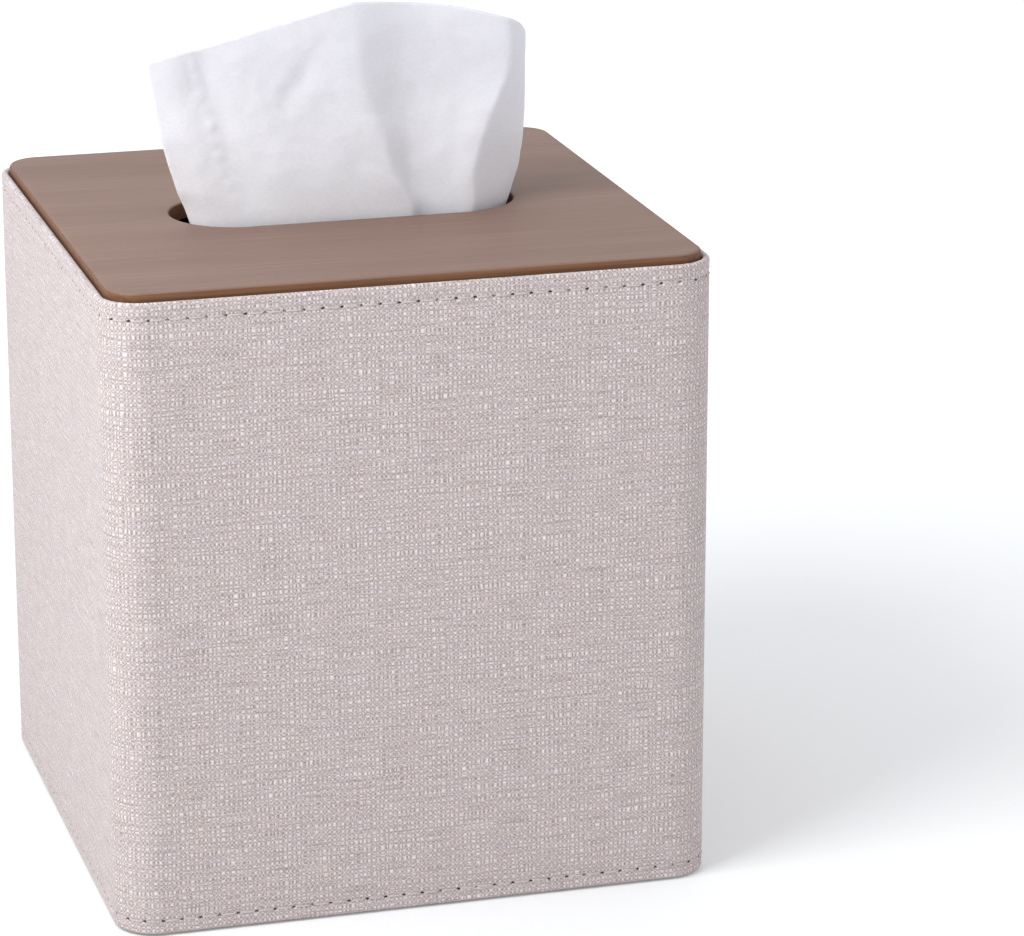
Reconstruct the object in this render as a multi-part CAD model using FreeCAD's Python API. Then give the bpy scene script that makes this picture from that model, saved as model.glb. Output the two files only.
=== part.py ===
import FreeCAD, Part
import os
from math import atan2, cos, radians, sin

from FreeCAD import Vector

# Square tissue box cover: leather sleeve on a board carcass, drop-in wooden lid, one tissue in the slot.
# Millimetres. The origin is on the table under the middle of the cover, -Y is the front and +Z is up.

# Outside of the leather
box_width = 135.0
box_depth = 135.0
rim_height = 142.2
corner_radius = 9.4

# Leather strip, folded double along its top and bottom edges
leather = 0.8
hem_height = 9.0
fold_share = 0.875  # rounding of a fold, as a share of the leather's thickness
sleeve_lift = 0.3
seam_gap = 0.3
glue_gap = 0.1

# Carcass of boards and quarter round posts
board = 4.0
base_thickness = 4.0
post_shoulder = 0.8
tongue = 1.4
tongue_length = 2.0

# Felt inside and the non-slip sheet underneath
felt = 1.5
base_felt = 1.0
felt_fit = 0.2
felt_drop = 1.0
sheet_thickness = 1.0
sheet_inset = 1.0

# Wooden lid, dropped into the lip that the top hem makes
lid_thickness = 4.0
lid_stand = 1.8
lid_gap = 0.3
lid_rounding = 0.9
lid_edge_break = 0.4
slot_length = 79.0
slot_width = 30.0
slot_rounding = 0.5

# Tissue, folded round at its right side, with its tail hanging below the lid
tissue = 0.6
tissue_clearance = 0.3
tissue_mid_rise = 19.0
tissue_peak_rise = 48.5
tissue_tail = 78.0
tissue_straight = 3.0

# The tissue's fold lines, from its left edge round its right turn to the edge of its back layer. Each row
# places one line at the lid, half way up and at the top edge, as shares of the clear slot: leftwards from
# the right end, backwards from the front. Last is the drop of its top below the peak, as a share of the rise.
tissue_folds = (
    ((0.96, 0.235), (1.024, 0.215), (1.06, 0.30), 0.25),  # left edge
    ((0.55, 0.0), (0.725, 0.015), (0.775, 0.165), 0.125),  # left panel
    ((0.34, 0.06), (0.44, 0.03), (0.50, 0.10), 0.0),  # first ridge, up to the peak
    ((0.25, 0.15), (0.29, 0.215), (0.275, 0.25), 0.04),  # valley
    ((0.155, 0.05), (0.12, 0.10), (0.04, 0.20), 0.14),  # second ridge
    ((0.058, 0.215), (0.01, 0.25), (-0.012, 0.315), 0.175),  # right turn, front
    ((0.02, 0.465), (-0.028, 0.45), (-0.034, 0.435), 0.215),  # right turn, middle
    ((0.058, 0.73), (0.002, 0.635), (-0.015, 0.555), 0.25),  # right turn, back
    ((0.15, 0.87), (0.088, 0.77), (0.05, 0.65), 0.27),  # start of the back layer
    ((0.50, 0.95), (0.45, 0.835), (0.40, 0.67), 0.185),  # back layer
    ((0.825, 0.80), (0.80, 0.70), (0.775, 0.60), 0.26),  # edge of the back layer
)

# Sizes that follow
hem = 2 * leather
fold_rounding = fold_share * leather
sleeve_bottom = sleeve_lift
sleeve_top = rim_height
lid_top = rim_height + lid_stand
seat_height = lid_top - lid_thickness
base_bottom = sheet_thickness
base_top = base_bottom + base_thickness
floor_height = base_top + base_felt
carcass_inset = hem + glue_gap
half_x = box_width / 2 - carcass_inset
half_y = box_depth / 2 - carcass_inset
carcass_radius = corner_radius - carcass_inset
post_size = carcass_radius + post_shoulder
groove = tongue + 2 * glue_gap
groove_depth = tongue_length + 2 * glue_gap
felt_top = seat_height - felt_drop
same = 1e-4  # two places closer than this are one


def outline(inset, z):
    """Rounded square wire at height z, inset from the outside of the leather."""
    x = box_width / 2 - inset
    y = box_depth / 2 - inset
    return rounded_wire(x, y, corner_radius - inset, z)


def rounded_wire(x, y, radius, z):
    """Closed wire of lines and quarter arcs with half sizes x and y."""
    edges = []
    last = None
    for sx, sy, start in ((1, 1, 0), (-1, 1, 90), (-1, -1, 180), (1, -1, 270)):
        cx = sx * (x - radius)
        cy = sy * (y - radius)
        on_arc = []
        for turn in (0, 45, 90):
            angle = radians(start + turn)
            on_arc.append(Vector(cx + radius * cos(angle), cy + radius * sin(angle), z))
        if last is not None:
            add_line(edges, last, on_arc[0])
        else:
            first = on_arc[0]
        edges.append(Part.Arc(*on_arc).toShape())
        last = on_arc[2]
    add_line(edges, last, first)
    return Part.Wire(edges)


def add_line(edges, start, end):
    """A straight edge, left out where two arcs meet without one."""
    if start.distanceToPoint(end) > same:
        edges.append(Part.LineSegment(start, end).toShape())


def prism(wire, height):
    return Part.Face(wire).extrude(Vector(0, 0, height))


def layer(inset, bottom, top):
    """Solid rounded square slab between two heights."""
    return prism(outline(inset, bottom), top - bottom)


def profile(points, bottom, top):
    """Upright solid on a closed polygon in plan."""
    corners = [Vector(x, y, bottom) for x, y in points]
    return prism(Part.makePolygon(corners + corners[:1]), top - bottom)


def edges_at(shape, z):
    """Edges that lie flat at height z."""
    return [e for e in shape.Edges if abs(e.BoundBox.ZMin - z) < same and abs(e.BoundBox.ZMax - z) < same]


def on_outside(edge):
    """Whether an edge lies on the outside of the leather rather than on the inside of the hem."""
    box = edge.BoundBox
    reach_x = max(-box.XMin, box.XMax)
    reach_y = max(-box.YMin, box.YMax)
    return reach_x > box_width / 2 - leather or reach_y > box_depth / 2 - leather


def back_slit(bottom, top):
    """The upright gap where the two ends of a wrapped strip meet at the middle of the back."""
    depth = 2 * carcass_inset
    return Part.makeBox(seam_gap, depth, top - bottom,
                        Vector(-seam_gap / 2, box_depth / 2 - carcass_inset, bottom))


def leather_sleeve():
    """Outer strip with both long edges folded in, rounded at the folds and butted at the back."""
    wall = layer(0, sleeve_bottom, sleeve_top)
    wall = wall.cut(layer(hem, sleeve_bottom, sleeve_top))
    wall = wall.cut(layer(leather, sleeve_bottom + hem_height, sleeve_top - hem_height))
    outer_bottom = [e for e in edges_at(wall, sleeve_bottom) if on_outside(e)]
    wall = wall.makeFillet(fold_rounding, edges_at(wall, sleeve_top) + outer_bottom)
    return wall.cut(back_slit(sleeve_bottom, sleeve_top))


def foam_wrap():
    """Thin interlining that fills the recess between the hems."""
    bottom = sleeve_bottom + hem_height + glue_gap
    top = sleeve_top - hem_height - glue_gap
    ring = layer(leather + glue_gap, bottom, top).cut(layer(hem, bottom, top))
    return ring.cut(back_slit(bottom, top))


def corner_post(sx, sy):
    """Quarter round post with a groove in each inner side for the tongues of the boards."""
    near_x = half_x - post_size
    near_y = half_y - post_size
    centre_x = half_x - carcass_radius
    centre_y = half_y - carcass_radius
    lane_x = half_x - board / 2
    lane_y = half_y - board / 2

    def at(x, y):
        return Vector(sx * x, sy * y, base_top)

    diagonal = carcass_radius * cos(radians(45))
    points = [
        at(centre_x, half_y), at(near_x, half_y),
        at(near_x, lane_y + groove / 2), at(near_x + groove_depth, lane_y + groove / 2),
        at(near_x + groove_depth, lane_y - groove / 2), at(near_x, lane_y - groove / 2),
        at(near_x, near_y),
        at(lane_x - groove / 2, near_y), at(lane_x - groove / 2, near_y + groove_depth),
        at(lane_x + groove / 2, near_y + groove_depth), at(lane_x + groove / 2, near_y),
        at(half_x, near_y), at(half_x, centre_y),
    ]
    edges = [Part.LineSegment(a, b).toShape() for a, b in zip(points, points[1:])]
    edges.append(Part.Arc(points[-1], at(centre_x + diagonal, centre_y + diagonal), points[0]).toShape())
    return prism(Part.Wire(edges), seat_height - base_top)


def wall_board(half_run, lane):
    """Upright board along X with a tongue on each end, its mid plane at y = lane."""
    near = board / 2
    tip = half_run + tongue_length
    thin = tongue / 2
    plan = [
        (-half_run, -near), (half_run, -near), (half_run, -thin), (tip, -thin),
        (tip, thin), (half_run, thin), (half_run, near), (-half_run, near),
        (-half_run, thin), (-tip, thin), (-tip, -thin), (-half_run, -thin),
    ]
    return profile([(x, y + lane) for x, y in plan], base_top, seat_height)


def quarter_turn(shape):
    shape.rotate(Vector(0, 0, 0), Vector(0, 0, 1), 90)
    return shape


def base_board():
    """Floor of the carcass: the walls stand on it."""
    return layer(carcass_inset, base_bottom, base_top)


def underside_sheet():
    return layer(carcass_inset + sheet_inset, 0, sheet_thickness)


def base_lining():
    """Felt on the floor, cut out round the posts."""
    x = half_x - board - felt_fit
    y = half_y - board - felt_fit
    notch_x = half_x - post_size - felt_fit
    notch_y = half_y - post_size - felt_fit
    plan = [
        (-notch_x, -y), (notch_x, -y), (notch_x, -notch_y), (x, -notch_y), (x, notch_y), (notch_x, notch_y),
        (notch_x, y), (-notch_x, y), (-notch_x, notch_y), (-x, notch_y), (-x, -notch_y), (-notch_x, -notch_y),
    ]
    return profile(plan, base_top, floor_height)


def wall_lining(half_run, wall):
    """Felt panel along X on the inside of the board whose inner face is at y = wall."""
    run = half_run - felt_fit
    plan = [(-run, wall), (run, wall), (run, wall + felt), (-run, wall + felt)]
    return profile(plan, floor_height, felt_top)


def slot_cutter():
    slot = rounded_wire(slot_length / 2, slot_width / 2, slot_width / 2, seat_height)
    return prism(slot, lid_thickness)


def lid_board():
    """Wooden panel with a long round-ended slot and softened edges."""
    panel = layer(hem + lid_gap, seat_height, lid_top).cut(slot_cutter())
    slot_reach = slot_length / 2 + lid_rounding
    rim = [e for e in edges_at(panel, lid_top) if not inside_slot(e, slot_reach)]
    mouth = [e for e in edges_at(panel, lid_top) if inside_slot(e, slot_reach)]
    panel = panel.makeFillet(lid_rounding, rim)
    mouth_now = [e for e in edges_at(panel, lid_top) if any(same_place(e, m) for m in mouth)]
    panel = panel.makeFillet(slot_rounding, mouth_now)
    underneath = [e for e in edges_at(panel, seat_height) if not inside_slot(e, slot_reach)]
    return panel.makeChamfer(lid_edge_break, underneath)


def inside_slot(edge, reach):
    box = edge.BoundBox
    return max(-box.XMin, box.XMax) < reach and max(-box.YMin, box.YMax) < slot_width / 2 + lid_rounding


def same_place(edge, other):
    return edge.CenterOfMass.distanceToPoint(other.CenterOfMass) < same


def fold_point(share, z):
    """A point of the sheet's middle surface from its shares of the clear slot."""
    across, back = share
    clear_width = slot_width - 2 * tissue_clearance - tissue
    return slot_length * (0.5 - across), clear_width * (back - 0.5), z


def tissue_plans():
    """The sheet's plan at the lid, half way up and along its top edge. Every second stretch is one arc."""
    flat = lid_top + tissue_straight
    middle = lid_top + tissue_mid_rise
    peak = lid_top + tissue_peak_rise
    at_lid = [fold_point(row[0], flat) for row in tissue_folds]
    half_up = [fold_point(row[1], middle) for row in tissue_folds]
    top_edge = [fold_point(row[2], peak - row[3] * tissue_peak_rise) for row in tissue_folds]
    return at_lid, half_up, top_edge


def offset_plan(plan, distance):
    """The plan moved sideways by a distance, square to the sheet at each point."""
    moved = []
    for i, (x, y, z) in enumerate(plan):
        before = plan[max(i - 1, 0)]
        after = plan[min(i + 1, len(plan) - 1)]
        angle = atan2(after[1] - before[1], after[0] - before[0])
        moved.append(Vector(x - distance * sin(angle), y + distance * cos(angle), z))
    return moved


def arcs_through(points):
    return [Part.Arc(*points[i:i + 3]).toShape() for i in range(0, len(points) - 2, 2)]


def sheet_edges(plan):
    """Arcs along the outer and the inner side of the sheet, and the two short edges across its ends."""
    outer = offset_plan(plan, -tissue / 2)
    inner = offset_plan(plan, tissue / 2)
    ends = [Part.LineSegment(outer[i], inner[i]).toShape() for i in (0, -1)]
    return arcs_through(outer), arcs_through(inner), ends


def sheet_wire(plan):
    """Closed wire round the sheet's thickness."""
    outer, inner, ends = sheet_edges(plan)
    return Part.Wire(outer + [ends[1]] + inner[::-1] + [ends[0]])


def tissue_sheet():
    """Thin folded sheet: a straight tail through the slot, lofted on through its folds to the fanned top."""
    at_lid, half_up, top_edge = tissue_plans()
    tail_length = lid_top + tissue_straight - (seat_height - tissue_tail)
    tail_end = [(x, y, z - tail_length) for x, y, z in at_lid]
    tail = sheet_wire(tail_end).extrude(Vector(0, 0, tail_length))
    fan = Part.makeLoft([sheet_wire(plan) for plan in (at_lid, half_up, top_edge)], False, False)
    outer, inner, ends = sheet_edges(top_edge)
    top = [Part.makeRuledSurface(a, b) for a, b in zip(outer, inner)]
    shell = Part.Shell(tail.Faces + fan.Faces + top + [Part.Face(sheet_wire(tail_end))])
    shell.sewShape()
    sheet = Part.Solid(shell)
    if sheet.Volume < 0:
        sheet.reverse()
    return sheet


def write(node, shape):
    assert shape.isValid(), node
    assert len(shape.Solids) == 1, node
    shape.Solids[0].exportStep(os.path.join("parts", node + ".step"))


os.makedirs("parts", exist_ok=True)
write("leather_sleeve", leather_sleeve())
write("foam_wrap", foam_wrap())
write("base_board", base_board())
write("underside_sheet", underside_sheet())
write("base_lining", base_lining())
for side_y, depth_name in ((-1, "front"), (1, "back")):
    for side_x, width_name in ((-1, "left"), (1, "right")):
        write(f"corner_post_{depth_name}_{width_name}", corner_post(side_x, side_y))
run_x = half_x - post_size
run_y = half_y - post_size
write("front_board", wall_board(run_x, board / 2 - half_y))
write("back_board", wall_board(run_x, half_y - board / 2))
write("left_board", quarter_turn(wall_board(run_y, half_x - board / 2)))
write("right_board", quarter_turn(wall_board(run_y, board / 2 - half_x)))
write("front_lining", wall_lining(run_x, board - half_y))
write("back_lining", wall_lining(run_x, half_y - board - felt))
write("left_lining", quarter_turn(wall_lining(run_y, half_x - board - felt)))
write("right_lining", quarter_turn(wall_lining(run_y, board - half_x)))
write("lid_board", lid_board())
write("tissue_sheet", tissue_sheet())
print("lid top", lid_top, "seat", seat_height, "inside", 2 * (half_x - board - felt), "post face", run_x)
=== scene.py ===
# %% [markdown]
# # A leather tissue box cover, dressed over its solid frame
# The solids already have the right sizes, so each new piece is made to them, in millimetres in the frame's
# own axes, and then scaled to metres. The front of the box is towards -Y. We make the camera and the tools
# first, then the stage, and then one piece or finish in each step.

# %% Frame and sizes
from math import cos, exp, hypot, pi, radians, sin

import bmesh
import bpy
from mathutils import Matrix, Vector, noise


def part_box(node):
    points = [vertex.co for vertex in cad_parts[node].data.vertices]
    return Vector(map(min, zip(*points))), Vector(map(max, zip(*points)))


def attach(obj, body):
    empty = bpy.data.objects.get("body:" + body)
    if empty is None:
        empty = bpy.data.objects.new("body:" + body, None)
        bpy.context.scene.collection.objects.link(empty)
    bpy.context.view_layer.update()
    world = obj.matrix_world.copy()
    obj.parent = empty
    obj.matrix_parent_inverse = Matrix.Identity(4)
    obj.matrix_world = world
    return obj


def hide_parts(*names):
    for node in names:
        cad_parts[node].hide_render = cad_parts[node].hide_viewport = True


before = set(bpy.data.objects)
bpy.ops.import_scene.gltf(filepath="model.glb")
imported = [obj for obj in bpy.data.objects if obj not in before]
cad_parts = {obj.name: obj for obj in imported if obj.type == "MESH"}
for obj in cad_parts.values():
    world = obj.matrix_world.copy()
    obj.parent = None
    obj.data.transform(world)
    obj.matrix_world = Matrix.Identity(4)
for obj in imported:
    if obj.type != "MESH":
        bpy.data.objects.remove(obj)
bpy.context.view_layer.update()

MM = 0.001
BOX_HALF = 67.5
CORNER = 9.4
LEATHER = 0.8
HEM = 2 * LEATHER
SLEEVE_LOW, SLEEVE_TOP = 0.3, 142.2
HEM_HEIGHT = 9.0
LID_LOW, LID_TOP = 140.0, 144.0

# %% [markdown]
# ## Camera
# A picture taken with a long lens has nearly parallel edges. The direction and the place below were found by
# laying the straight edges of the box over the picture, and the lens then follows from the box's size.
# The box stands left of the middle because that is where the picture has it.

# %% Camera
SENSOR, LENS = 36.0, 153.19
TURN, RISE = radians(-15.962), radians(17.146)
CAMERA_PLACE = (-226.2, -930.3, 376.7)

scene = bpy.context.scene
camera_data = bpy.data.cameras.new("camera")
camera_data.sensor_width = SENSOR
camera_data.lens = LENS
camera = bpy.data.objects.new("camera", camera_data)
scene.collection.objects.link(camera)
backwards = Vector((sin(TURN) * cos(RISE), -cos(TURN) * cos(RISE), sin(RISE)))
camera.location = Vector(CAMERA_PLACE) * MM
camera.rotation_euler = (-backwards).to_track_quat("-Z", "Y").to_euler()
scene.camera = camera
print("camera", [round(x, 3) for x in camera.location])

# %% [markdown]
# ## Tools for pieces and finishes
# Every piece ends in the same way: its bmesh becomes an object, rides on a body and stands for its solid.
# Every finish is a node tree. Nodes could be laid out one by one, but a small class with short calls keeps
# the recipes readable.

# %% Tool for pieces
def make_piece(name, bm, finish, body, sharp, nodes=()):
    """Turn a bmesh in millimetres into a piece that rides on a body and stands for the named nodes."""
    bmesh.ops.scale(bm, vec=(MM, MM, MM), verts=bm.verts)
    mesh = bpy.data.meshes.new(name)
    bm.to_mesh(mesh)
    bm.free()
    mesh.shade_smooth()
    mesh.set_sharp_from_angle(angle=radians(sharp))
    mesh.materials.append(finish.material)
    piece = bpy.data.objects.new(name, mesh)
    scene.collection.objects.link(piece)
    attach(piece, body)
    if nodes:
        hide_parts(*nodes)
    print(name, len(mesh.polygons), "faces")
    return piece


print("pieces are made in units of", MM, "m")

# %% Tool for finishes
class Finish:
    """A procedural material that is put together with short calls."""

    def __init__(self, name, **sockets):
        self.material = bpy.data.materials.new(name)
        self.material.use_nodes = True
        self.tree = self.material.node_tree
        self.shader = self.tree.nodes["Principled BSDF"]
        for socket, value in sockets.items():
            self.shader.inputs[socket.replace("_", " ")].default_value = value

    def add(self, kind, wires, pick=0, **settings):
        """A new node with its sockets wired or set. Gives back the output that is picked."""
        node = self.tree.nodes.new("ShaderNode" + kind)
        for key, value in settings.items():
            setattr(node, key, value)
        for socket, value in wires.items():
            if isinstance(value, bpy.types.NodeSocket):
                self.tree.links.new(value, node.inputs[socket])
            else:
                node.inputs[socket].default_value = value
        return node.outputs[pick]

    def place(self, kind="Object"):
        """Coordinates in millimetres, of the object or of its UV map."""
        raw = self.add("TexCoord", {}, pick=kind)
        return self.add("VectorMath", {0: raw, "Scale": 1 / MM}, operation="SCALE")

    def parts(self, vector):
        """The x, y and z of a vector."""
        split = self.tree.nodes.new("ShaderNodeSeparateXYZ")
        self.tree.links.new(vector, split.inputs[0])
        return split.outputs

    def calc(self, operation, a, b=0.0, c=0.0):
        return self.add("Math", {0: a, 1: b, 2: c}, operation=operation)

    def spread(self, vector, sizes):
        """Divide a place by the size that a grain has along each axis."""
        return self.add("VectorMath", {0: vector, 1: [1 / s for s in sizes]}, operation="MULTIPLY")

    def grain(self, vector, sizes, detail=2.0, roughness=0.5, distortion=0.0):
        wires = {"Vector": self.spread(vector, sizes), "Scale": 1.0, "Detail": detail,
                 "Roughness": roughness, "Distortion": distortion}
        return self.add("TexNoise", wires)

    def fit(self, value, low, high, to_low=0.0, to_high=1.0):
        """Ease a value from one range into another."""
        wires = {0: value, 1: low, 2: high, 3: to_low, 4: to_high}
        return self.add("MapRange", wires, interpolation_type="SMOOTHSTEP")

    def mix(self, share, a, b, blend="MIX"):
        """Mix of two colours, which may be sockets."""
        return self.add("Mix", {0: share, 6: a, 7: b}, pick=2, data_type="RGBA", blend_type=blend)

    def bump(self, height, depth, strength):
        return self.add("Bump", {"Strength": strength, "Distance": depth * MM, "Height": height})

    def finish(self, **sockets):
        """Wire the named sockets of the shader."""
        for socket, source in sockets.items():
            self.tree.links.new(source, self.shader.inputs[socket.replace("_", " ")])
        return self


def tone(r, g, b):
    return r, g, b, 1.0


print("finishes are measured in millimetres too")

# %% [markdown]
# ## Stage and light
# A white room gives most of the light. One soft lamp near the box, high on its left and a little in front,
# makes the left side the brightest and lets the front fade downwards. A wide lamp overhead and a panel
# behind lift the floor and the lid. The lamps are area lights because their size is what makes a shadow
# soft. The floor glows a little, more so further away, which is how a sweep burns out to white.

# %% Lamps
ROOM_COLOUR, ROOM_STRENGTH = tone(0.93, 0.96, 1.0), 0.72
# Name, place and target in metres, side in metres, power in watts, colour
LAMPS = (
    ("left_lamp", (-0.50, -0.25, 0.62), (0.0, 0.0, 0.08), 0.4, 4.4, (0.965, 1.0, 1.005)),
    ("top_lamp", (0.1, 0.7, 1.4), (0.0, 0.3, 0.0), 1.2, 3.9, (1.0, 1.0, 1.0)),
    ("back_panel", (0.3, 2.4, 0.8), (0.0, 0.0, 0.15), 1.6, 1.0, (1.0, 1.0, 1.0)),
)


def softbox(name, place, target, size, power, colour):
    """A square lamp that faces its target."""
    data = bpy.data.lights.new(name, "AREA")
    data.size, data.energy, data.color = size, power, colour
    lamp = bpy.data.objects.new(name, data)
    scene.collection.objects.link(lamp)
    lamp.location = place
    lamp.rotation_euler = (Vector(target) - Vector(place)).to_track_quat("-Z", "Y").to_euler()
    lamp.visible_camera = False


scene.view_settings.view_transform = "Standard"
world = bpy.data.worlds.new("studio")
world.use_nodes = True
room = world.node_tree.nodes["Background"]
room.inputs["Color"].default_value = ROOM_COLOUR
room.inputs["Strength"].default_value = ROOM_STRENGTH
scene.world = world
for lamp_values in LAMPS:
    softbox(*lamp_values)
print("stage with", len(bpy.data.lights), "lamps")

# %% Floor
FLOOR_RADIUS, FLOOR_SIDES, FLOOR_DROP = 9.0, 96, 0.0002
GLOW_START, GLOW_END = 0.1, 0.6
GLOW_NEAR, GLOW_FAR = 0.14, 0.38


def sweep_finish():
    f = Finish("white_sweep", Base_Color=tone(0.80, 0.80, 0.80), Roughness=0.9, Specular_IOR_Level=0.1,
               Emission_Color=tone(1.0, 1.0, 1.0))
    spot = f.add("TexCoord", {}, pick="Object")
    away = f.add("VectorMath", {0: spot}, pick="Value", operation="LENGTH")
    return f.finish(Emission_Strength=f.fit(away, GLOW_START, GLOW_END, GLOW_NEAR, GLOW_FAR))


floor_mesh = bpy.data.meshes.new("floor")
bm = bmesh.new()
bmesh.ops.create_circle(bm, cap_ends=True, segments=FLOOR_SIDES, radius=FLOOR_RADIUS)
bm.to_mesh(floor_mesh)
bm.free()
floor = bpy.data.objects.new("floor", floor_mesh)
scene.collection.objects.link(floor)
floor.location.z = -FLOOR_DROP
floor_mesh.materials.append(sweep_finish().material)
print("floor of", FLOOR_RADIUS, "m radius")

# %% [markdown]
# ## Linen-look leather
# The cover is artificial leather, embossed like a plain linen weave. Each thread is about one
# millimetre wide and goes over one neighbour and under the next. A picture of cloth could be laid on it, but
# two sine waves give the same and never repeat a fault: their product is high where an upright thread is on
# top and low where a level one is, and a power of it leaves one small raised dot at each crossing. Weaker
# terms add a mark between each four dots and a faint column along each upright thread. Noise makes the
# threads wander and the dots uneven, adds short fibre strokes, and makes a few long thick threads (slubs).
# The colour follows this height on the leather's own tone: painted highlight on the raised dots and painted
# shade in the low places. The pattern reads the UV map, which runs round the box, so threads turn the
# corners unbroken. The needle holes are part of the finish: they are pressed in and painted dark as shade.

# %% Weave and stitch sizes
THREAD = 0.99
UPRIGHT_SWAY, LEVEL_SWAY = 1.9, 2.4
UPRIGHT_SWAY_SIZE, LEVEL_SWAY_SIZE = (1.5, 9.0, 1.0), (12.0, 1.5, 1.0)
DOT, QUINCUNX, COLUMN, OVER_UNDER, STROKE, SLUB = 0.34, 0.16, 0.08, 0.12, 1.25, 0.45
DOT_POWER, DOT_PATCH = 3.0, (0.8, 0.8, 1.0)
STROKE_SIZE, SLUB_SIZE = (0.23, 0.35, 1.0), (9.0, 0.36, 1.0)
WEAVE_DEPTH = 0.2
STITCH_ROWS = (3.4, 138.5)
OUTLINE_LENGTH = 8 * (BOX_HALF - CORNER) + 2 * pi * CORNER
STITCHES = 126
STITCH = OUTLINE_LENGTH / STITCHES
HOLE_HALF_RUN, HOLE_HALF_RISE = 0.50, 0.27
HOLE_RAGGED, HOLE_SINK = 2.0, 1.5
print("weave of", THREAD, "mm threads,", STITCHES, "stitches of", round(STITCH, 3), "mm")

# %% Leather finish
def thread_wave(f, along, sway, amount):
    """A wave with half a turn to each thread, swayed by noise."""
    turns = f.calc("ADD", f.calc("DIVIDE", along, THREAD), f.calc("MULTIPLY", sway, amount))
    return f.calc("SINE", f.calc("MULTIPLY", turns, pi))


def weave_height(f, uv, stroke, slub):
    """Height of the weave, about zero on average."""
    run, girth, _ = f.parts(uv)
    wave_x = thread_wave(f, run, f.grain(uv, UPRIGHT_SWAY_SIZE, detail=3.0), UPRIGHT_SWAY)
    wave_y = thread_wave(f, girth, f.grain(uv, LEVEL_SWAY_SIZE, detail=3.0), LEVEL_SWAY)
    crossing = f.calc("MULTIPLY", wave_x, wave_y)
    uneven = f.fit(f.grain(uv, DOT_PATCH, detail=1.0), 0.32, 0.68, 0.55, 1.45)
    dot = f.calc("MULTIPLY", f.calc("POWER", f.calc("ABSOLUTE", crossing), DOT_POWER), uneven)
    square_x = f.calc("MULTIPLY", wave_x, wave_x)
    square_y = f.calc("MULTIPLY", wave_y, wave_y)
    between = f.calc("MULTIPLY", f.calc("SUBTRACT", 0.5, square_x), f.calc("SUBTRACT", 0.5, square_y))
    height = f.calc("MULTIPLY", dot, DOT)
    terms = ((between, 4 * QUINCUNX), (square_x, COLUMN), (crossing, OVER_UNDER),
             (stroke, STROKE), (slub, SLUB))
    for term, amount in terms:
        height = f.calc("MULTIPLY_ADD", term, amount, c=height)
    return f.calc("SUBTRACT", height, (STROKE + SLUB) / 2)


def needle_hole_depth_and_shade(f, uv, stroke):
    """How much of a needle hole there is, used both to sink the relief and to paint the hole's shade: ragged
    at the edges, and some holes fainter than others.
    """
    run_step = f.calc("DIVIDE", f.calc("PINGPONG", f.parts(uv)[0], STITCH / 2), HOLE_HALF_RUN)
    rise = f.parts(f.place())[2]
    ragged = f.calc("SUBTRACT", stroke, 0.5)
    holes = 0.0
    for row in STITCH_ROWS:
        rise_step = f.calc("DIVIDE", f.calc("SUBTRACT", rise, row), HOLE_HALF_RISE)
        apart = f.calc("MULTIPLY", run_step, run_step)
        apart = f.calc("MULTIPLY_ADD", rise_step, rise_step, c=apart)
        apart = f.calc("MULTIPLY_ADD", ragged, HOLE_RAGGED, c=apart)
        holes = f.calc("MAXIMUM", holes, f.fit(apart, 0.4, 1.2, 1.0, 0.0))
    return f.calc("MULTIPLY", holes, f.fit(f.grain(uv, (3.1, 3.1, 1.0)), 0.36, 0.52, 0.45, 1.0))


def weave_finish():
    f = Finish("linen_leather", Roughness=0.62, Specular_IOR_Level=0.3, Sheen_Weight=0.05)
    uv = f.place("UV")
    stroke = f.grain(uv, STROKE_SIZE, detail=2.0)
    slub = f.grain(uv, SLUB_SIZE, detail=1.5)
    height = weave_height(f, uv, stroke, slub)
    # Painted light on the leather's own tone: the weave's low places are painted darker as painted shade, the
    # raised dots lighter as painted highlight, and the low gaps beside the slubs darker as painted shade.
    base = f.mix(f.fit(height, -0.34, 0.30), tone(0.285, 0.226, 0.220), tone(0.63, 0.539, 0.534))
    base = f.mix(f.fit(height, 0.12, 1.05), base, tone(0.90, 0.845, 0.85))
    base = f.mix(f.fit(slub, 0.40, 0.27, 0.0, 0.45), base, tone(0.36, 0.295, 0.27))
    patch = f.grain(uv, (7.0, 3.5, 1.0), detail=2.0)
    tint = f.mix(f.fit(patch, 0.38, 0.62), tone(1.005, 1.0, 0.983), tone(0.999, 0.998, 1.008))
    base = f.mix(1.0, base, tint, blend="MULTIPLY")
    holes = needle_hole_depth_and_shade(f, uv, stroke)
    # Painted shade: the needle holes are painted nearly black.
    base = f.mix(holes, base, tone(0.035, 0.025, 0.022))
    relief = f.calc("SUBTRACT", height, f.calc("MULTIPLY", holes, HOLE_SINK))
    return f.finish(Base_Color=base, Normal=f.bump(relief, WEAVE_DEPTH, 0.5))


linen = weave_finish()
print(linen.material.name, "has", len(linen.tree.nodes), "nodes")

# %% [markdown]
# ## The leather sleeve
# The real sleeve is one strip that is folded over at its top and bottom edges, stitched, and glued round the
# box with its ends meeting at the middle of the back. A hollow box with rounded edges would look alike from
# afar, but it has no hems and no seam. So we make it as it is made: draw the strip's section, with the two
# folds and the stitch grooves, and extrude it step by step along the outline of the box. Each step lands on
# a needle hole or between two, so the holes can be pressed into the mesh afterwards.

# %% Path round the box
SEAM = 0.15
HOLE_STEP, SHORTEST_STEP = 0.42, 0.2


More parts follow.
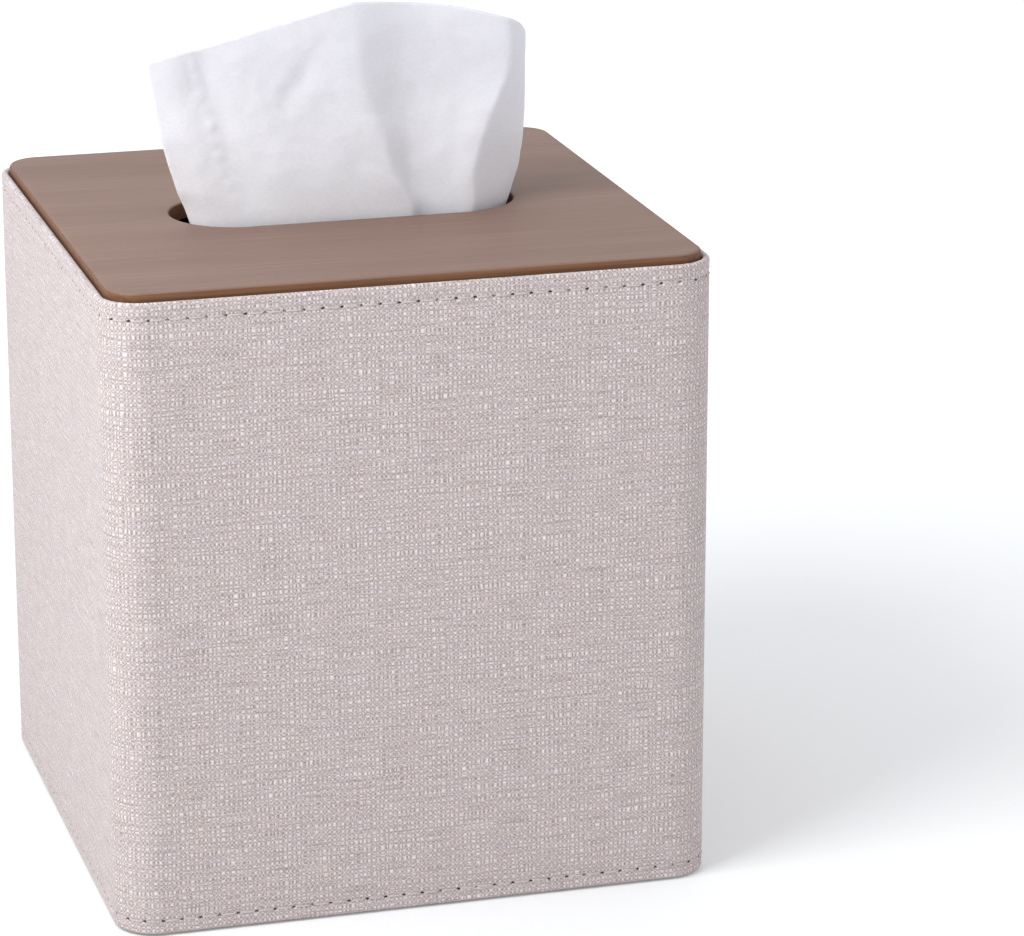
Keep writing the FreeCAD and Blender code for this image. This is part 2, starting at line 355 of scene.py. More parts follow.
def on_outline(run):
    """Matrix that stands the strip's section at a run round the box, with +X out of the leather."""
    straight = BOX_HALF - CORNER
    point, angle = Vector((0.0, BOX_HALF, 0.0)), pi / 2
    for leg in (straight, 2 * straight, 2 * straight, 2 * straight, straight):
        step = min(run, leg)
        point = point + step * Vector((-sin(angle), cos(angle), 0.0))
        run -= step
        if run <= 0:
            break
        bend = min(run, CORNER * pi / 2)
        centre = point - CORNER * Vector((cos(angle), sin(angle), 0.0))
        angle += bend / CORNER
        point = centre + CORNER * Vector((cos(angle), sin(angle), 0.0))
        run -= bend
        if run <= 0:
            break
    return Matrix.Translation(point) @ Matrix.Rotation(angle, 4, "Z")


def sleeve_runs():
    """A step on each needle hole, close beside it on both sides, and half way to the next."""
    start, end = SEAM, OUTLINE_LENGTH - SEAM
    runs = []
    for k in range(STITCHES):
        runs += [k * STITCH + s for s in (0.0, HOLE_STEP, STITCH / 2, STITCH - HOLE_STEP)]
    return [start] + [r for r in runs if start + SHORTEST_STEP < r < end - SHORTEST_STEP] + [end]


print("outline of", round(OUTLINE_LENGTH, 2), "mm in", len(sleeve_runs()) - 1, "steps")

# %% Strips
def grow(bm, cap, move):
    """Extrude a face, move its new end, and give that back."""
    grown = bmesh.ops.extrude_face_region(bm, geom=[cap])["geom"]
    cap = next(g for g in grown if isinstance(g, bmesh.types.BMFace))
    bmesh.ops.transform(bm, matrix=move, verts=cap.verts)
    return cap


def extrude_along(bm, cap, runs, run_layer):
    """Extrude a section from run to run round the box, and note on each vertex how far round it is."""
    here = on_outline(runs[0])
    for v in cap.verts:
        v[run_layer] = runs[0]
    bmesh.ops.transform(bm, matrix=here, verts=cap.verts)
    for run in runs[1:]:
        there = on_outline(run)
        cap = grow(bm, cap, there @ here.inverted())
        for v in cap.verts:
            v[run_layer] = run
        here = there


def close_strip(bm):
    """Take out the sections left inside an extruded strip, and turn its faces outwards."""
    inside = [f for f in bm.faces if all(len(e.link_faces) > 2 for e in f.edges)]
    bmesh.ops.delete(bm, geom=inside, context="FACES_ONLY")
    bmesh.ops.recalc_face_normals(bm, faces=bm.faces)


print("strips start at the seam,", SEAM, "mm from the middle of the back")

# %% Sleeve section
GROOVE, GROOVE_HALF, GROOVE_FLANK = 0.16, 1.0, 0.45
FOLD_ROUNDING, FOLD_STEPS = 0.98 * LEATHER, 6


def strip_section(bm):
    """One face: the strip cut across, with its hems folded in and a groove under each row of stitches."""
    step_low, step_high = SLEEVE_LOW + HEM_HEIGHT, SLEEVE_TOP - HEM_HEIGHT
    outside = [(0.0, SLEEVE_LOW)]
    for row in STITCH_ROWS:
        outside += [(0.0, row - GROOVE_HALF), (GROOVE / 2, row - GROOVE_FLANK), (GROOVE, row)]
        outside += [(GROOVE / 2, row + GROOVE_FLANK), (0.0, row + GROOVE_HALF)]
        if row == STITCH_ROWS[0]:
            outside += [(0.0, step_low), (0.0, step_high)]
    outside.append((0.0, SLEEVE_TOP))
    inside = [(HEM, SLEEVE_TOP), (HEM, step_high), (LEATHER, step_high), (LEATHER, step_low),
              (HEM, step_low), (HEM, SLEEVE_LOW)]
    verts = [bm.verts.new((-d, 0.0, z)) for d, z in outside + inside]
    bm.faces.new(verts)
    folds = [v for v in verts if v.co.z in (verts[0].co.z, verts[len(outside)].co.z)]
    bmesh.ops.bevel(bm, geom=folds, offset=FOLD_ROUNDING, offset_type="OFFSET", affect="VERTICES",
                    segments=FOLD_STEPS, profile=0.5, material=-1)
    bm.faces.ensure_lookup_table()
    return bm.faces[0]


print("section folded double over", HEM_HEIGHT, "mm at both edges")

# %% Sleeve
PRESS_DEEP, PRESS_SHALLOW = 0.30, 0.08
TOUCH = 0.01

bm = bmesh.new()
run_layer = bm.verts.layers.float.new("run")
girth_layer = bm.verts.layers.float.new("girth")
section = strip_section(bm)
for v in section.verts:
    folded = v.co.x < -LEATHER - TOUCH
    mirror_at = SLEEVE_TOP if v.co.z > SLEEVE_TOP / 2 else SLEEVE_LOW
    v[girth_layer] = 2 * mirror_at - v.co.z if folded else v.co.z
extrude_along(bm, section, sleeve_runs(), run_layer)
close_strip(bm)
for v in bm.verts:
    off_hole = abs((v[run_layer] + STITCH / 2) % STITCH - STITCH / 2)
    off_row = min(abs(v.co.z - row) for row in STITCH_ROWS)
    unfolded = abs(v[girth_layer] - v.co.z) < TOUCH
    if unfolded and off_hole < TOUCH and off_row < GROOVE_FLANK + TOUCH:
        inward = on_outline(v[run_layer]).to_3x3() @ Vector((-1.0, 0.0, 0.0))
        v.co += inward * (PRESS_DEEP if off_row < TOUCH else PRESS_SHALLOW)
weave = bm.loops.layers.uv.new("weave")
for face in bm.faces:
    for loop in face.loops:
        loop[weave].uv = (loop.vert[run_layer] * MM, loop.vert[girth_layer] * MM)
make_piece("leather_sleeve_wrap", bm, linen, "case", sharp=50, nodes=["leather_sleeve"])

# %% [markdown]
# ## Stitching
# Each stitch is a short length of thread that comes up out of one hole, lies in the groove and goes down the
# next hole. One stitch could be copied round the box, but it would stay straight at the corners. So each is
# extruded along the outline with the sleeve's own tools. A six-sided tube with tapered ends is enough for a
# thread as thin as this.

# %% Stitching
THREAD_RADIUS, THREAD_SIDES = 0.21, 6
THREAD_SEAT = 0.2 * THREAD_RADIUS
# Share of the stitch's length, lift of the thread, share of its thickness
STITCH_SHAPE = ((0.03, -0.55, 0.7), (0.12, -0.12, 0.9), (0.3, 0.02, 1.0), (0.5, 0.04, 1.0),
                (0.7, 0.02, 1.0), (0.88, -0.12, 0.9), (0.97, -0.55, 0.7))


def thread_finish():
    f = Finish("hem_thread", Roughness=0.75, Specular_IOR_Level=0.25)
    twist = f.grain(f.place(), (0.25, 0.25, 0.25), detail=2.0)
    colour = f.mix(f.fit(twist, 0.3, 0.7), tone(0.46, 0.39, 0.375), tone(0.66, 0.59, 0.575))
    return f.finish(Base_Color=colour, Normal=f.bump(twist, 0.08, 0.5))


def stitch_row(name, row, finish):
    """One row of stitches round the box, each of them a tube of its own."""
    bm = bmesh.new()
    lay_along = Matrix.Rotation(pi / 2, 4, "X")
    for k in range(STITCHES - 1):
        here, cap = None, None
        for share, lift, size in STITCH_SHAPE:
            there = (on_outline((k + share) * STITCH)
                     @ Matrix.Translation((lift - GROOVE + THREAD_SEAT, 0.0, row))
                     @ Matrix.Diagonal((size, 1.0, size, 1.0)))
            if cap is None:
                ring = bmesh.ops.create_circle(bm, cap_ends=True, segments=THREAD_SIDES, radius=THREAD_RADIUS,
                                               matrix=there @ lay_along)["verts"]
                cap = ring[0].link_faces[0]
            else:
                cap = grow(bm, cap, there @ here.inverted())
            here = there
    close_strip(bm)
    make_piece(name, bm, finish, "case", sharp=180)


thread = thread_finish()
for row_name, row_height in zip(("bottom_stitching", "top_stitching"), STITCH_ROWS):
    stitch_row(row_name, row_height, thread)

# %% [markdown]
# ## Wooden lid
# A thin walnut board with round corners and one long round-ended slot. A boolean could cut the slot, but it
# leaves long thin faces that spoil a bevel. Bridging a rounded square to the slot's outline gives a flat ring
# instead, an inset on both sides of it keeps clean strips of faces along the edges, and a bevel then rounds
# the edges. The grain is noise that is stretched along the board. The sides below the top are painted darker
# and warmer: partly the cut wood's own darker tone and partly painted shade.

# %% Lid finish
SIDE_START, SIDE_FULL = 0.22, 0.5


def wood_finish():
    f = Finish("matte_walnut", Specular_IOR_Level=0.4)
    place = f.place()
    figure = f.grain(place, (120.0, 13.0, 9.0), detail=3.0, roughness=0.5, distortion=0.3)
    streak = f.grain(place, (40.0, 0.6, 0.5), detail=3.0, roughness=0.6)
    pores = f.fit(f.grain(place, (4.0, 0.22, 0.22), detail=1.0), 0.66, 0.80)
    colour = f.mix(f.fit(figure, 0.3, 0.7), tone(0.208, 0.125, 0.093), tone(0.237, 0.147, 0.112))
    colour = f.mix(f.fit(streak, 0.4, 0.75, 0.0, 0.35), colour, tone(0.166, 0.097, 0.070))
    colour = f.mix(f.calc("MULTIPLY", pores, 0.3), colour, tone(0.13, 0.070, 0.050))
    # Painted shade, partly the cut wood's own tone: the sides below the top are painted darker and warmer
    # than the top.
    side_tone_and_shade = f.mix(f.fit(streak, 0.35, 0.65), tone(0.195, 0.086, 0.038), tone(0.140, 0.056, 0.023))
    side = f.fit(f.parts(place)[2], LID_TOP - SIDE_FULL, LID_TOP - SIDE_START, 1.0, 0.0)
    colour = f.mix(side, colour, side_tone_and_shade)
    rough = f.fit(streak, 0.2, 0.8, 0.50, 0.60)
    relief = f.calc("SUBTRACT", f.calc("MULTIPLY", streak, 0.4), pores)
    return f.finish(Base_Color=colour, Roughness=rough, Normal=f.bump(relief, 0.04, 0.3))


walnut = wood_finish()
print(walnut.material.name, "has", len(walnut.tree.nodes), "nodes")

# %% Board tools
def rounded_square(bm, half, corner, steps):
    """A flat square whose corners are round in plan."""
    bmesh.ops.create_grid(bm, x_segments=1, y_segments=1, size=half)
    bmesh.ops.bevel(bm, geom=bm.verts[:], offset=corner, offset_type="OFFSET", affect="VERTICES",
                    segments=steps, profile=0.5, material=-1)


def give_thickness(bm, rise):
    """Extrude flat faces straight up, or down where the rise is negative, and turn all faces outwards."""
    grown = bmesh.ops.extrude_face_region(bm, geom=bm.faces[:], use_keep_orig=True)["geom"]
    moving = [g for g in grown if isinstance(g, bmesh.types.BMVert)]
    bmesh.ops.translate(bm, vec=(0.0, 0.0, rise), verts=moving)
    bmesh.ops.recalc_face_normals(bm, faces=bm.faces)


def soften(bm, edges, size, steps=2):
    """Round edges with a bevel."""
    bmesh.ops.bevel(bm, geom=edges, offset=size, offset_type="OFFSET", affect="EDGES",
                    segments=steps, profile=0.5, material=-1)


print("board tools ready")

# %% Lid
LID_GAP = 0.3
LID_HALF = BOX_HALF - HEM - LID_GAP
LID_CORNER, LID_CORNER_STEPS = CORNER - HEM - LID_GAP, 20
SLOT_HALF, SLOT_RADIUS, SLOT_SIDES = 39.5, 15.0, 80
SLOT_REACH = SLOT_HALF - SLOT_RADIUS
EDGE_STRIP = 2.4
LID_ROUNDING, SLOT_ROUNDING, ROUNDING_STEPS = 0.9, 0.5, 6
LOWER_RIM_BEVEL, LOWER_SLOT_BEVEL, LOWER_STEPS = 0.4, 0.3, 2
CLOSE = 1e-3


def level_edges(bm, z, test):
    """Edges at a height whose ends both pass a test."""
    return [e for e in bm.edges if all(abs(v.co.z - z) < CLOSE and test(v.co) for v in e.verts)]


def at_slot(co):
    return abs(hypot(max(abs(co.x) - SLOT_REACH, 0.0), co.y) - SLOT_RADIUS) < CLOSE


def at_rim(co):
    flat = LID_HALF - LID_CORNER
    return abs(hypot(max(abs(co.x) - flat, 0.0), max(abs(co.y) - flat, 0.0)) - LID_CORNER) < CLOSE


bm = bmesh.new()
rounded_square(bm, LID_HALF, LID_CORNER, LID_CORNER_STEPS)
bmesh.ops.delete(bm, geom=bm.faces[:], context="FACES_ONLY")
rim_edges = bm.edges[:]
half_side = Matrix.Rotation(radians(180 / SLOT_SIDES), 4, "Z")
slot_verts = bmesh.ops.create_circle(bm, segments=SLOT_SIDES, radius=SLOT_RADIUS, matrix=half_side)["verts"]
for v in slot_verts:
    v.co.x += SLOT_REACH * (1 if v.co.x > 0 else -1)
slot_edges = [e for e in bm.edges if e not in rim_edges]
ring = bmesh.ops.bridge_loops(bm, edges=rim_edges + slot_edges)["faces"]
bmesh.ops.inset_region(bm, faces=ring, thickness=EDGE_STRIP, use_boundary=True, use_even_offset=True)
bmesh.ops.translate(bm, vec=(0.0, 0.0, LID_TOP), verts=bm.verts)
give_thickness(bm, LID_LOW - LID_TOP)
for z, test, size, steps in ((LID_TOP, at_rim, LID_ROUNDING, ROUNDING_STEPS),
                             (LID_TOP, at_slot, SLOT_ROUNDING, ROUNDING_STEPS),
                             (LID_LOW, at_rim, LOWER_RIM_BEVEL, LOWER_STEPS),
                             (LID_LOW, at_slot, LOWER_SLOT_BEVEL, LOWER_STEPS)):
    soften(bm, level_edges(bm, z, test), size, steps)
make_piece("walnut_lid", bm, walnut, "lid", sharp=40, nodes=["lid_board"])

# %% [markdown]
# ## The tissue
# One sheet of tissue is pulled up through the slot. It is folded round at its right side, so it has a front
# and a back layer, and the front has two ridges with a valley between them. A simulation would not give just
# these folds, so we place the fold lines one by one and let a smooth curve run through them, first across the
# sheet and then up it. Then come small crumples, the crimped line beside the left edge and one soft crease.
# Thin paper lets light through, so its finish scatters some of it below the surface.

# %% Tissue fold lines
FOLD_LEVELS = (146.0, 152.0, 164.0, 176.0)
# Height of a point below the lid, and how far the folds have drawn together there
TAIL = ((62.2, 0.88), (102.0, 0.89), (139.0, 0.95))
# The x and y of a fold line at each level, then the x, y and z of its top end, then how sharp the fold is
# at the hanging end and at the top
FOLDS = (
    ((-37.3, -7.8), (-39.8, -9.4), (-43.4, -11.6), (-45.6, -11.8), (-46.4, -11.3, 181.2), (0.0, 0.0)),
    ((-32.4, -11.4), (-34.3, -12.3), (-37.5, -13.0), (-39.9, -12.6), (-41.0, -12.0, 182.6), (0.0, 0.0)),
    ((-22.7, -13.6), (-25.3, -13.2), (-29.0, -12.4), (-32.2, -11.8), (-34.0, -11.3, 183.9), (0.0, 0.0)),
    ((-11.0, -14.2), (-14.4, -14.2), (-18.6, -13.4), (-21.3, -12.7), (-22.7, -12.1, 186.9), (0.0, 0.0)),
    ((2.0, -14.1), (-2.0, -14.3), (-6.4, -13.9), (-9.4, -13.3), (-11.3, -12.6, 189.8), (0.0, 0.0)),
    ((12.6, -14.3), (9.2, -14.8), (4.8, -14.8), (1.2, -13.9), (0.2, -12.5, 192.4), (0.9, 0.55)),
    ((15.8, -12.7), (13.4, -12.4), (12.0, -11.8), (11.8, -10.7), (12.4, -9.4, 191.2), (0.0, 0.0)),
    ((22.4, -13.1), (21.0, -12.9), (22.0, -12.1), (24.6, -10.7), (24.4, -9.1, 189.6), (0.0, 0.0)),
    ((27.4, -13.5), (27.0, -13.8), (30.6, -13.2), (36.0, -11.2), (35.8, -9.7, 186.6), (0.8, 0.3)),
    ((32.4, -10.3), (33.0, -10.0), (35.9, -9.3), (39.3, -8.0), (39.8, -6.8, 184.4), (0.0, 0.0)),
    ((37.6, -5.7), (39.2, -5.4), (40.7, -5.0), (41.5, -4.6), (41.6, -4.2, 182.4), (0.0, 0.0)),
    ((39.1, -0.4), (40.7, -0.7), (41.4, -1.0), (42.0, -1.2), (42.0, -1.2, 181.2), (0.0, 0.0)),
    ((37.5, 5.4), (38.7, 4.6), (39.6, 3.8), (40.4, 2.8), (40.5, 2.4, 180.2), (0.0, 0.0)),
    ((30.3, 10.9), (31.9, 9.8), (33.7, 8.0), (35.5, 6.0), (36.0, 5.0, 179.6), (0.0, 0.0)),
    ((14.0, 12.8), (15.5, 12.1), (17.5, 10.4), (19.5, 8.0), (20.5, 6.0, 181.6), (0.0, 0.0)),
    ((-2.0, 13.2), (-1.0, 12.5), (1.5, 10.8), (3.5, 8.0), (4.5, 5.8, 183.0), (0.0, 0.0)),
    ((-15.0, 11.7), (-14.4, 11.0), (-12.0, 9.2), (-9.6, 6.6), (-9.0, 4.6, 181.6), (0.0, 0.0)),
    ((-26.0, 8.7), (-25.6, 8.1), (-24.2, 6.8), (-22.6, 4.4), (-22.0, 3.1, 179.8), (0.0, 0.0)),
)


def fold_line(row):
    """Points up one fold line, from the hanging end through the slot to the top."""
    x, y = row[0]
    line = [Vector((x * share, y * share, z)) for z, share in TAIL]
    line += [Vector((*xy, z)) for xy, z in zip(row, FOLD_LEVELS)]
    return line + [Vector(row[-2])]


def mean_gap(a, b):
    """How far two fold lines are apart on average."""
    return sum((p - q).length for p, q in zip(a, b)) / len(a)


lines = [fold_line(row) for row in FOLDS]
LINE_POINTS = len(lines[0])
across = [0.0]
for left_line, right_line in zip(lines, lines[1:]):
    across.append(across[-1] + mean_gap(left_line, right_line))
SHEET_WIDTH = across[-1]
print("tissue is", round(SHEET_WIDTH, 1), "mm wide round its folds")

# %% Tissue curves
def sharpness(k):
    """How sharp each fold is at the k-th point up its line."""
    share = k / (LINE_POINTS - 1)
    return [low + (high - low) * share for low, high in (row[-1] for row in FOLDS)]


def curve_at(points, places, sharp, at):
    """A smooth curve through points that lie at the given places along it, with a kink where one is sharp."""
    i = max(k for k in range(len(places) - 1) if places[k] <= at or k == 0)
    span = places[i + 1] - places[i]
    t = (at - places[i]) / span
    slope = (points[i + 1] - points[i]) / span

    def tangent(k):
        low, high = max(k - 1, 0), min(k + 1, len(points) - 1)
        smooth = (points[high] - points[low]) / (places[high] - places[low])
        return smooth.lerp(slope, sharp[k])

    a, b = points[i], points[i + 1]
    m, n = tangent(i) * span, tangent(i + 1) * span
    return (a * (2 * t**3 - 3 * t**2 + 1) + m * (t**3 - 2 * t**2 + t)
            + b * (3 * t**2 - 2 * t**3) + n * (t**3 - t**2))


def sheet_column(at):
    """The sheet's fold line at a distance from its left edge, as points and their distances along it."""
    points = [curve_at([line[k] for line in lines], across, sharpness(k), at) for k in range(LINE_POINTS)]
    along = [0.0]
    for p, q in zip(points, points[1:]):
        along.append(along[-1] + (q - p).length)
    return points, along


print("left edge is", round(sheet_column(0.0)[1][-1], 1), "mm long")

# %% Tissue crumples
WRINKLE_STRETCH = (0.9, 0.8)
# Size, height and start of each layer of noise
WRINKLES = ((17.0, 0.60, (0, 0, 0)), (7.5, 0.36, (9, 3, 0)), (2.6, 0.13, (2, 8, 0)))
WRINKLE_FOOT, WRINKLE_FULL = 146.0, 157.0
CRIMP_LINE, CRIMP_HALF, CRIMP_PITCH, CRIMP_HEIGHT = 11.5, 1.0, 3.4, 0.31
CRIMP_WANDER, WANDER_LENGTH = 0.7, 9.0
CRIMP_MEAN, CRIMP_SWING = 0.55, 0.45
CRIMP_WEIGHT, CRIMP_UNEVEN, UNEVEN_LENGTH = 0.6, 0.9, 3.0
CRIMP_FOOT, CRIMP_FULL = 145.0, 149.0
TROUGH_OFF, TROUGH_HALF, TROUGH_DEPTH = 2.6, 2.2, 0.18
CREASE_X, CREASE_Z, CREASE_LEAN = -13.0, 174.5, (0.6, 0.8)
CREASE_DEPTH, CREASE_HALF_WIDTH, CREASE_HALF_LENGTH = 0.70, 3.0, 6.5


def ease(value, low, high):
    t = min(max((value - low) / (high - low), 0.0), 1.0)
    return t * t * (3 - 2 * t)


def crimp(width, z, line):
    """The row of small pressed marks beside the left edge."""
    marks = CRIMP_MEAN + CRIMP_SWING * cos(z * 2 * pi / CRIMP_PITCH)
    marks *= exp(-((width - line) / CRIMP_HALF) ** 2)
    uneven = CRIMP_WEIGHT + CRIMP_UNEVEN * noise.noise(Vector((z / UNEVEN_LENGTH, 1.0, 0.0)))
    return marks * (CRIMP_HEIGHT * uneven * ease(z, CRIMP_FOOT, CRIMP_FULL))


def crease(place):
    """Depth of the soft crease, which leans across the front layer."""
    x, z = place.x - CREASE_X, place.z - CREASE_Z
    along = x * CREASE_LEAN[0] + z * CREASE_LEAN[1]
    beside = x * CREASE_LEAN[1] - z * CREASE_LEAN[0]
    return CREASE_DEPTH * exp(-(beside / CREASE_HALF_WIDTH) ** 2) * exp(-(along / CREASE_HALF_LENGTH) ** 4)


def crumple(width, place):
    """How far a point of the sheet stands off its smooth shape."""
    spot = Vector((width * WRINKLE_STRETCH[0], place.z * WRINKLE_STRETCH[1], 0.0))
    lift = sum(height * noise.noise(spot / size + Vector(start)) for size, height, start in WRINKLES)
    line = CRIMP_LINE + CRIMP_WANDER * noise.noise(Vector((place.z / WANDER_LENGTH, 4.0, 0.0)))
    lift -= TROUGH_DEPTH * exp(-((width - line - TROUGH_OFF) / TROUGH_HALF) ** 2)
    if place.y < 0:
        lift -= crease(place)
    return crimp(width, place.z, line) + lift * ease(place.z, WRINKLE_FOOT, WRINKLE_FULL)


print("crumples start", WRINKLE_FOOT - LID_TOP, "mm above the lid")

# %% Tissue
COLUMNS, ROWS = 230, 170
PAPER = 0.16
SHADE_TOP, SHADE_FOOT = 184.0, 150.0


def tissue_finish():
    f = Finish("soft_tissue", Roughness=0.92, Specular_IOR_Level=0.12, Subsurface_Weight=0.85,
               Subsurface_Scale=0.4 * MM, Subsurface_Radius=(1.0, 1.0, 1.0))
    place = f.place()
    fibre = f.grain(place, (0.8, 0.8, 0.45), detail=3.0, roughness=0.6)
    dimple = f.grain(place, (2.2, 2.2, 1.4), detail=2.0)
    # Painted light and shade: the paper is painted darker towards the top, where the sheet gets more light,
    # and lighter towards the slot, where it gets less.
    down = f.fit(f.parts(place)[2], SHADE_TOP, SHADE_FOOT)
    paper = f.mix(down, tone(0.74, 0.723, 0.766), tone(0.885, 0.864, 0.91))
    colour = f.mix(f.fit(fibre, 0.3, 0.7, 0.08, 0.0), paper, tone(0.35, 0.35, 0.38))
    relief = f.calc("ADD", fibre, f.calc("MULTIPLY", dimple, 1.2))
    return f.finish(Base_Color=colour, Normal=f.bump(relief, 0.06, 0.5))


bm = bmesh.new()
width_layer = bm.verts.layers.float.new("flat")
bmesh.ops.create_grid(bm, x_segments=COLUMNS, y_segments=ROWS, size=0.5)
columns = {}
no_kinks = [0.0] * LINE_POINTS
for v in bm.verts:
    key = round((v.co.x + 0.5) * COLUMNS)
    if key not in columns:
        columns[key] = sheet_column(SHEET_WIDTH * key / COLUMNS)
    points, along = columns[key]
    v[width_layer] = SHEET_WIDTH * key / COLUMNS
    v.co = curve_at(points, along, no_kinks, along[-1] * (v.co.y + 0.5))
bm.normal_update()
crumpled = [(v, v.co + v.normal * crumple(v[width_layer], v.co)) for v in bm.verts]
for v, place in crumpled:
    v.co = place
soft_paper = tissue_finish()
tissue = make_piece("pulled_tissue", bm, soft_paper, "tissue", sharp=180, nodes=["tissue_sheet"])
paper = tissue.modifiers.new("paper", "SOLIDIFY")
paper.thickness, paper.offset = PAPER * MM, 0.0
print("tissue area", round(sum(p.area for p in tissue.data.polygons) / MM**2), "mm2")

# %% [markdown]
# ## Felt inside
# The walls and the floor are lined with dark felt. Felt is cut with a knife, so its edges are square but
# soft. A plain block would do for the shape, but it looks like plastic. A bevel softens its edges, and small
# random moves of a fine mesh give the slightly uneven face that a flat panel lacks. The floor's panel is
# notched at its corners, where the posts stand.

# %% Felt finish
def felt_finish(name, dark, light):
    f = Finish(name, Roughness=0.95, Specular_IOR_Level=0.1, Sheen_Weight=0.25, Sheen_Roughness=0.6)
    place = f.place()
    fuzz = f.grain(place, (0.35, 0.35, 0.35), detail=4.0, roughness=0.7)
    cloud = f.grain(place, (9.0, 9.0, 9.0), detail=2.0)
    colour = f.mix(f.fit(fuzz, 0.3, 0.7), dark, light)
    colour = f.mix(f.fit(cloud, 0.3, 0.7, 0.0, 0.3), colour, dark)
    return f.finish(Base_Color=colour, Normal=f.bump(fuzz, 0.25, 0.6))


lining_felt = felt_finish("lining_felt", tone(0.035, 0.026, 0.022), tone(0.075, 0.057, 0.048))
print(lining_felt.material.name, "has", len(lining_felt.tree.nodes), "nodes")

# %% Felt panels
FELT_BEVEL, FELT_STEP = 0.28, 3.0
FELT_UNEVEN, FELT_LUMP = 0.06, 5.0
POST_NOTCH = 4.5
CLEAR_ANGLE = 1.0


def square_edges(bm):
    """The edges where two faces meet at a clear angle, in radians."""
    return [e for e in bm.edges if e.calc_face_angle() > CLEAR_ANGLE]


def cut_across(bm, place, axis):
    """Cut all the faces with a plane that is square to an axis."""
    normal = Vector([float(k == axis) for k in range(3)])
    everything = bm.verts[:] + bm.edges[:] + bm.faces[:]
    bmesh.ops.bisect_plane(bm, geom=everything, plane_co=place, plane_no=normal)


def notched_plate(bm, low, size, notch):
    """A flat plate whose four corners are cut out in plan."""
    middle = low + Vector((size.x / 2, size.y / 2, 0.0))
    bmesh.ops.create_grid(bm, x_segments=1, y_segments=1, size=0.5,
                          matrix=Matrix.Translation(middle) @ Matrix.Diagonal((size.x, size.y, 1.0, 1.0)))
    reach = (size.x / 2 - notch, size.y / 2 - notch)
    for axis in (0, 1):
        for side in (-1, 1):
            place = middle.copy()
            place[axis] += side * reach[axis]
            cut_across(bm, place, axis)
    corners = [f for f in bm.faces
               if all(abs((f.calc_center_median() - middle)[k]) > reach[k] for k in (0, 1))]
    bmesh.ops.delete(bm, geom=corners, context="FACES")
    give_thickness(bm, size.z)


def felt_panel(name, node, notch=0.0):
    """A soft panel in the box of a node. A notch cuts its four corners in plan."""
    low, high = (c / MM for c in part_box(node))
    middle, size = (low + high) / 2, high - low
    thin = min(range(3), key=lambda k: size[k])
    bm = bmesh.new()
    if notch:
        notched_plate(bm, low, size, notch)
    else:
        bmesh.ops.create_cube(bm, size=1.0, matrix=Matrix.Translation(middle) @ Matrix.Diagonal((*size, 1.0)))
    soften(bm, square_edges(bm), FELT_BEVEL)
    for axis in range(3):
        steps = int(size[axis] / FELT_STEP) if axis != thin else 1
        for k in range(1, steps):
            cut_across(bm, low + size * (k / steps), axis)
    for v in bm.verts:
        inward = 1 if middle[thin] > v.co[thin] else -1
        v.co[thin] += FELT_UNEVEN * inward * (1 + noise.noise(v.co / FELT_LUMP))
    make_piece(name, bm, lining_felt, "case", sharp=60, nodes=[node])


for side in ("front", "back", "left", "right"):
    felt_panel(side + "_felt", side + "_lining")
felt_panel("base_felt", "base_lining", notch=POST_NOTCH)

# %% [markdown]
# ## Flocked sheet
# The box stands on a thin sheet with a short nap, so that it doesn't slide. Its outline follows the box, so
# the lid's tools make it as well: a square with its corners bevelled in plan, given its thickness, and then
# softened round its rims.

# %% Flocked sheet
FLOCK_BEVEL, FLOCK_CORNER_STEPS = 0.2, 12

flock = felt_finish("underside_flock", tone(0.018, 0.016, 0.015), tone(0.045, 0.039, 0.036))
flock_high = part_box("underside_sheet")[1] / MM
flock_corner = CORNER - (BOX_HALF - flock_high.x)
bm = bmesh.new()
rounded_square(bm, flock_high.x, flock_corner, FLOCK_CORNER_STEPS)
give_thickness(bm, flock_high.z)
soften(bm, square_edges(bm), FLOCK_BEVEL)
make_piece("underside_flock", bm, flock, "case", sharp=60, nodes=["underside_sheet"])

# %% [markdown]
# ## Interlining
# A thin foam lies between the leather and the boards and ends at the hems. It is the same kind of strip as
# the sleeve, so the sleeve's extrusion makes it too, with a plain section and half as many steps.

# %% Interlining
def foam_finish():
    f = Finish("foam_wrap", Roughness=0.95, Specular_IOR_Level=0.1)
    cell = f.grain(f.place(), (0.4, 0.4, 0.4), detail=2.0)
    colour = f.mix(f.fit(cell, 0.35, 0.65), tone(0.50, 0.48, 0.43), tone(0.68, 0.66, 0.61))
    return f.finish(Base_Color=colour, Normal=f.bump(cell, 0.2, 0.5))


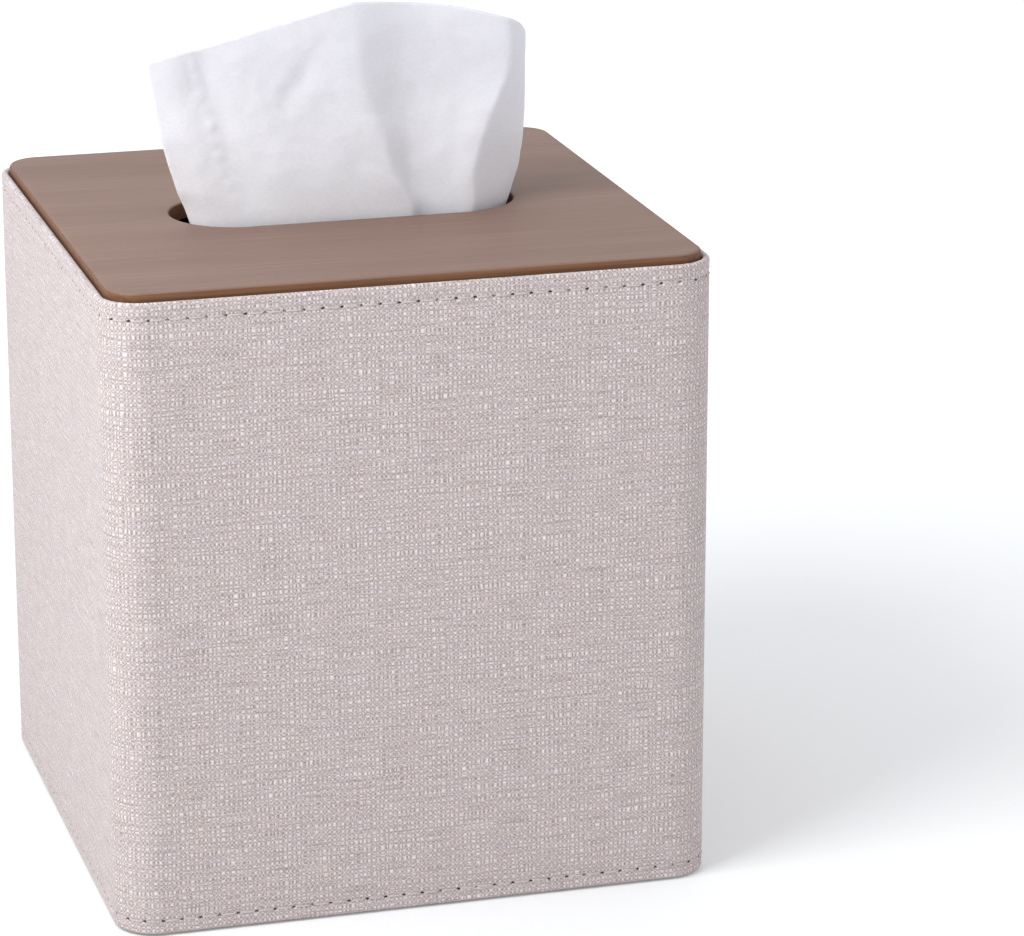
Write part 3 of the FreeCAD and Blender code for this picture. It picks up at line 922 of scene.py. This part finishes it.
foam_low, foam_high = (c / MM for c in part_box("foam_wrap"))
foam_outside, foam_inside = BOX_HALF - foam_high.x, HEM
foam_corners = ((foam_outside, foam_low.z), (foam_outside, foam_high.z),
                (foam_inside, foam_high.z), (foam_inside, foam_low.z))
bm = bmesh.new()
run_layer = bm.verts.layers.float.new("run")
section = bm.faces.new([bm.verts.new((-d, 0.0, z)) for d, z in foam_corners])
extrude_along(bm, section, sleeve_runs()[:-1:2] + [OUTLINE_LENGTH - SEAM], run_layer)
close_strip(bm)
make_piece("foam_interlining", bm, foam_finish(), "case", sharp=50, nodes=["foam_wrap"])

# %% [markdown]
# ## Carcass
# The boards, posts and base hold the cover in shape and show only when the lid is off. They could be made
# again here, but their solids already have the right shapes, so they only get finishes: fibreboard has a
# fine brown speckle, and the posts are plain softwood with upright grain.

# %% Carcass
def board_finish():
    f = Finish("fibreboard", Roughness=0.85, Specular_IOR_Level=0.2)
    place = f.place()
    speck = f.grain(place, (0.5, 0.5, 0.5), detail=3.0, roughness=0.7)
    cloud = f.grain(place, (6.0, 6.0, 6.0), detail=2.0)
    colour = f.mix(f.fit(speck, 0.3, 0.7), tone(0.22, 0.145, 0.085), tone(0.36, 0.255, 0.165))
    colour = f.mix(f.fit(cloud, 0.3, 0.7, 0.0, 0.3), colour, tone(0.25, 0.165, 0.10))
    return f.finish(Base_Color=colour, Normal=f.bump(speck, 0.1, 0.4))


def post_finish():
    f = Finish("softwood_post", Roughness=0.7, Specular_IOR_Level=0.3)
    year = f.grain(f.place(), (1.3, 1.6, 60.0), detail=3.0, distortion=0.4)
    colour = f.mix(f.fit(year, 0.3, 0.7), tone(0.38, 0.25, 0.135), tone(0.53, 0.38, 0.23))
    return f.finish(Base_Color=colour, Normal=f.bump(year, 0.06, 0.3))


fibreboard, softwood = board_finish(), post_finish()
for node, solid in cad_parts.items():
    if node.startswith("corner_post"):
        carcass_finish = softwood
    elif node.endswith("_board") and node != "lid_board":
        carcass_finish = fibreboard
    else:
        continue
    solid.data.materials.clear()
    solid.data.materials.append(carcass_finish.material)
    print(node, "wears", carcass_finish.material.name)
